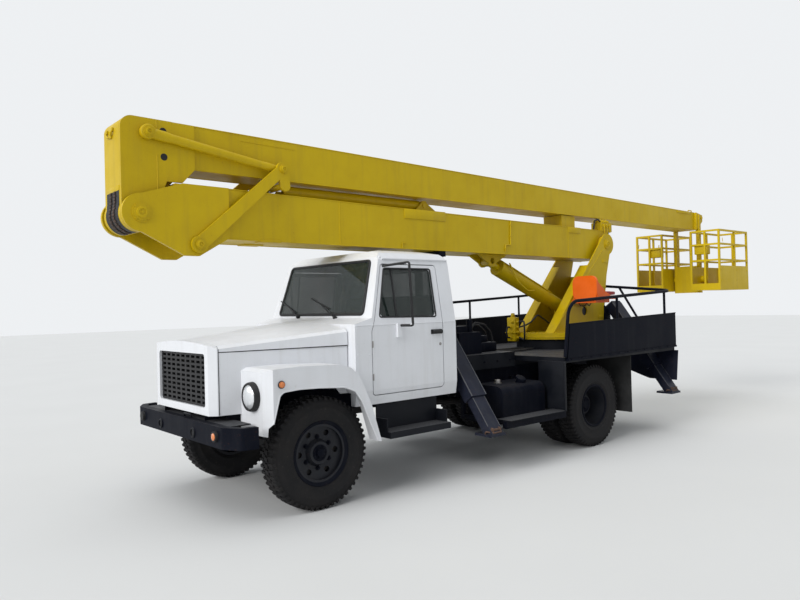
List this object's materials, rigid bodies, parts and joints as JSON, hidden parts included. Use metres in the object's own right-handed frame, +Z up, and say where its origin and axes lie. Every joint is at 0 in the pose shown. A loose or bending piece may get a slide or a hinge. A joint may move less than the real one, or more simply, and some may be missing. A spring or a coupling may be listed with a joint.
{
  "type": "cherry picker truck",
  "caption": "Bonneted lorry with a slewing mast, folding two-part boom, paired work cages and slanted outrigger legs.",
  "frame": {"origin": "on the ground under the middle of the whole length, booms stowed", "axes": "+X forward, +Y to the left, +Z up"},
  "size_m": [10.325, 2.5, 3.335],
  "materials": {
    "cab_white": "satin",
    "boom_yellow": "satin",
    "chassis_black": "satin",
    "outrigger_grey": "satin",
    "tyre": "matt",
    "glass": "clear",
    "seat_trim": "matt",
    "dark_trim": "matt",
    "machine_grey": "rough",
    "rod_steel": "bright",
    "seat_orange": "satin",
    "lamp_glass": "clear",
    "rubber": "matt"
  },
  "bodies": {
    "chassis": {"frame_rails": "chassis_black", "front_bumper": "chassis_black", "engine": "machine_grey", "springs": "machine_grey", "front_axle": "machine_grey", "rear_axle": "machine_grey", "cab_shell": "cab_white", "cab_glass": "glass", "cab_seats": "seat_trim", "dashboard": "dark_trim", "nose": "cab_white", "grille": "dark_trim", "wing_left": "cab_white", "wing_right": "cab_white", "lamps": "lamp_glass", "cab_steps": "chassis_black", "fuel_tank": "chassis_black", "battery_box": "chassis_black", "side_guards": "chassis_black", "deck": "chassis_black", "side_panels": "chassis_black", "handrails": "chassis_black", "mudflaps": "rubber", "pump_unit": "chassis_black", "boom_rest": "chassis_black", "outrigger_sleeves": "outrigger_grey"},
    "bonnet_lid": {"bonnet": "cab_white"},
    "door_left_body": {"door_left": "cab_white", "door_glass_left": "glass"},
    "door_right_body": {"door_right": "cab_white", "door_glass_right": "glass"},
    "knuckle_left_body": {"knuckle_left": "machine_grey"},
    "knuckle_right_body": {"knuckle_right": "machine_grey"},
    "wheel_front_left": {"rim_front_left": "chassis_black", "tyre_front_left": "tyre"},
    "wheel_front_right": {"rim_front_right": "chassis_black", "tyre_front_right": "tyre"},
    "wheels_rear_left": {"rims_rear_left": "chassis_black", "tyres_rear_left": "tyre"},
    "wheels_rear_right": {"rims_rear_right": "chassis_black", "tyres_rear_right": "tyre"},
    "leg_front_left_body": {"leg_front_left": "outrigger_grey"},
    "leg_front_right_body": {"leg_front_right": "outrigger_grey"},
    "leg_rear_left_body": {"leg_rear_left": "outrigger_grey"},
    "leg_rear_right_body": {"leg_rear_right": "outrigger_grey"},
    "turntable": {"mast": "boom_yellow", "operator_seat": "seat_orange"},
    "lower_boom_body": {"lower_boom": "boom_yellow"},
    "upper_boom_body": {"upper_boom": "boom_yellow"},
    "lift_barrel_body": {"lift_barrel": "boom_yellow"},
    "lift_rod_body": {"lift_rod": "rod_steel"},
    "knee_barrel_body": {"knee_barrel": "boom_yellow"},
    "knee_rod_body": {"knee_rod": "rod_steel"},
    "knee_struts_body": {"knee_struts": "boom_yellow"},
    "knee_ties_body": {"knee_ties": "boom_yellow"},
    "level_shaft_body": {"level_shaft": "boom_yellow"},
    "cages_body": {"cages": "boom_yellow"}
  },
  "joints": [
    {"name": "bonnet_hinge", "type": "hinge", "parent": "chassis", "child": "bonnet_lid", "pos_m": [3.3685, 0, 1.604], "axis": [0, -1, 0], "range_deg": [0, 32]},
    {"name": "door_left_hinge", "type": "hinge", "parent": "chassis", "child": "door_left_body", "pos_m": [3.1745, 0.905, 1.5], "axis": [0, 0, -1], "range_deg": [0, 70]},
    {"name": "door_right_hinge", "type": "hinge", "parent": "chassis", "child": "door_right_body", "pos_m": [3.1745, -0.905, 1.5], "axis": [0, 0, 1], "range_deg": [0, 70]},
    {"name": "steer_left", "type": "hinge", "parent": "chassis", "child": "knuckle_left_body", "pos_m": [3.7555, 0.64, 0.484], "axis": [0, 0, 1], "range_deg": [-32, 32]},
    {"name": "steer_right", "type": "hinge", "parent": "chassis", "child": "knuckle_right_body", "pos_m": [3.7555, -0.64, 0.484], "axis": [0, 0, 1], "range_deg": [-32, 32]},
    {"name": "wheel_front_left_spin", "type": "hinge", "parent": "knuckle_left_body", "child": "wheel_front_left", "pos_m": [3.7555, 0.815, 0.484], "axis": [0, 1, 0], "continuous": true},
    {"name": "wheel_front_right_spin", "type": "hinge", "parent": "knuckle_right_body", "child": "wheel_front_right", "pos_m": [3.7555, -0.815, 0.484], "axis": [0, 1, 0], "continuous": true},
    {"name": "wheels_rear_left_spin", "type": "hinge", "parent": "chassis", "child": "wheels_rear_left", "pos_m": [-0.0145, 0.845, 0.484], "axis": [0, 1, 0], "continuous": true},
    {"name": "wheels_rear_right_spin", "type": "hinge", "parent": "chassis", "child": "wheels_rear_right", "pos_m": [-0.0145, -0.845, 0.484], "axis": [0, 1, 0], "continuous": true},
    {"name": "leg_front_left_slide", "type": "slide", "parent": "chassis", "child": "leg_front_left_body", "axis": [0, 0.5878, -0.809], "range_m": [0, 0.493]},
    {"name": "leg_front_right_slide", "type": "slide", "parent": "chassis", "child": "leg_front_right_body", "axis": [0, -0.5878, -0.809], "range_m": [0, 0.493]},
    {"name": "leg_rear_left_slide", "type": "slide", "parent": "chassis", "child": "leg_rear_left_body", "axis": [0, 0.5878, -0.809], "range_m": [0, 0.58]},
    {"name": "leg_rear_right_slide", "type": "slide", "parent": "chassis", "child": "leg_rear_right_body", "axis": [0, -0.5878, -0.809], "range_m": [0, 0.58]},
    {"name": "slew", "type": "hinge", "parent": "chassis", "child": "turntable", "pos_m": [-0.7245, 0, 1.235], "axis": [0, 0, 1], "range_deg": [-145, 145]},
    {"name": "lift", "type": "hinge", "parent": "turntable", "child": "lower_boom_body", "pos_m": [-1.5845, 0, 2.53], "axis": [0, -1, 0], "range_deg": [0, 75]},
    {"name": "lift_barrel_swing", "type": "hinge", "parent": "turntable", "child": "lift_barrel_body", "pos_m": [-0.9915, 0, 1.61], "axis": [0, -1, 0], "range_deg": [0, 63.4]},
    {"name": "lift_rod_slide", "type": "slide", "parent": "lift_barrel_body", "child": "lift_rod_body", "axis": [0.9272, 0, 0.3745], "range_m": [0, 1.2516]},
    {"name": "knee", "type": "hinge", "parent": "lower_boom_body", "child": "upper_boom_body", "pos_m": [5.0045, 0, 2.537], "axis": [0, 1, 0], "range_deg": [0, 165]},
    {"name": "knee_barrel_swing", "type": "hinge", "parent": "lower_boom_body", "child": "knee_barrel_body", "pos_m": [1.7255, 0, 2.862], "axis": [0, -1, 0], "range_deg": [0, 4.98]},
    {"name": "knee_rod_slide", "type": "slide", "parent": "knee_barrel_body", "child": "knee_rod_body", "axis": [1, 0, 0.0051], "range_m": [0, 1.4017]},
    {"name": "knee_struts_swing", "type": "hinge", "parent": "lower_boom_body", "child": "knee_struts_body", "pos_m": [4.5255, 0, 2.292], "axis": [0, 1, 0], "range_deg": [0, 87.19]},
    {"name": "knee_ties_swing", "type": "hinge", "parent": "upper_boom_body", "child": "knee_ties_body", "pos_m": [4.9305, 0, 3.207], "axis": [0, -1, 0], "range_deg": [0, 68.12]},
    {"name": "level_shaft_turn", "type": "hinge", "parent": "upper_boom_body", "child": "level_shaft_body", "pos_m": [-4.5195, 0, 2.05], "axis": [0, 1, 0], "range_deg": [0, 75]},
    {"name": "cages_level", "type": "hinge", "parent": "level_shaft_body", "child": "cages_body", "pos_m": [-4.5195, 0, 2.05], "axis": [0, -1, 0], "range_deg": [0, 165]}
  ],
  "couplings": [
    {"joint": "steer_right", "follows": "steer_left", "ratio": 1},
    {"joint": "lift_barrel_swing", "follows": "lift", "ratio": 0.84518},
    {"joint": "lift_rod_slide", "follows": "lift", "m_per_rad": 0.95609},
    {"joint": "level_shaft_turn", "follows": "lift", "ratio": 1},
    {"joint": "knee_barrel_swing", "follows": "knee", "ratio": 0.03012},
    {"joint": "knee_rod_slide", "follows": "knee", "m_per_rad": 0.4867},
    {"joint": "knee_struts_swing", "follows": "knee", "ratio": 0.52836},
    {"joint": "knee_ties_swing", "follows": "knee", "ratio": 0.41281},
    {"joint": "cages_level", "follows": "knee", "ratio": 1}
  ]
}
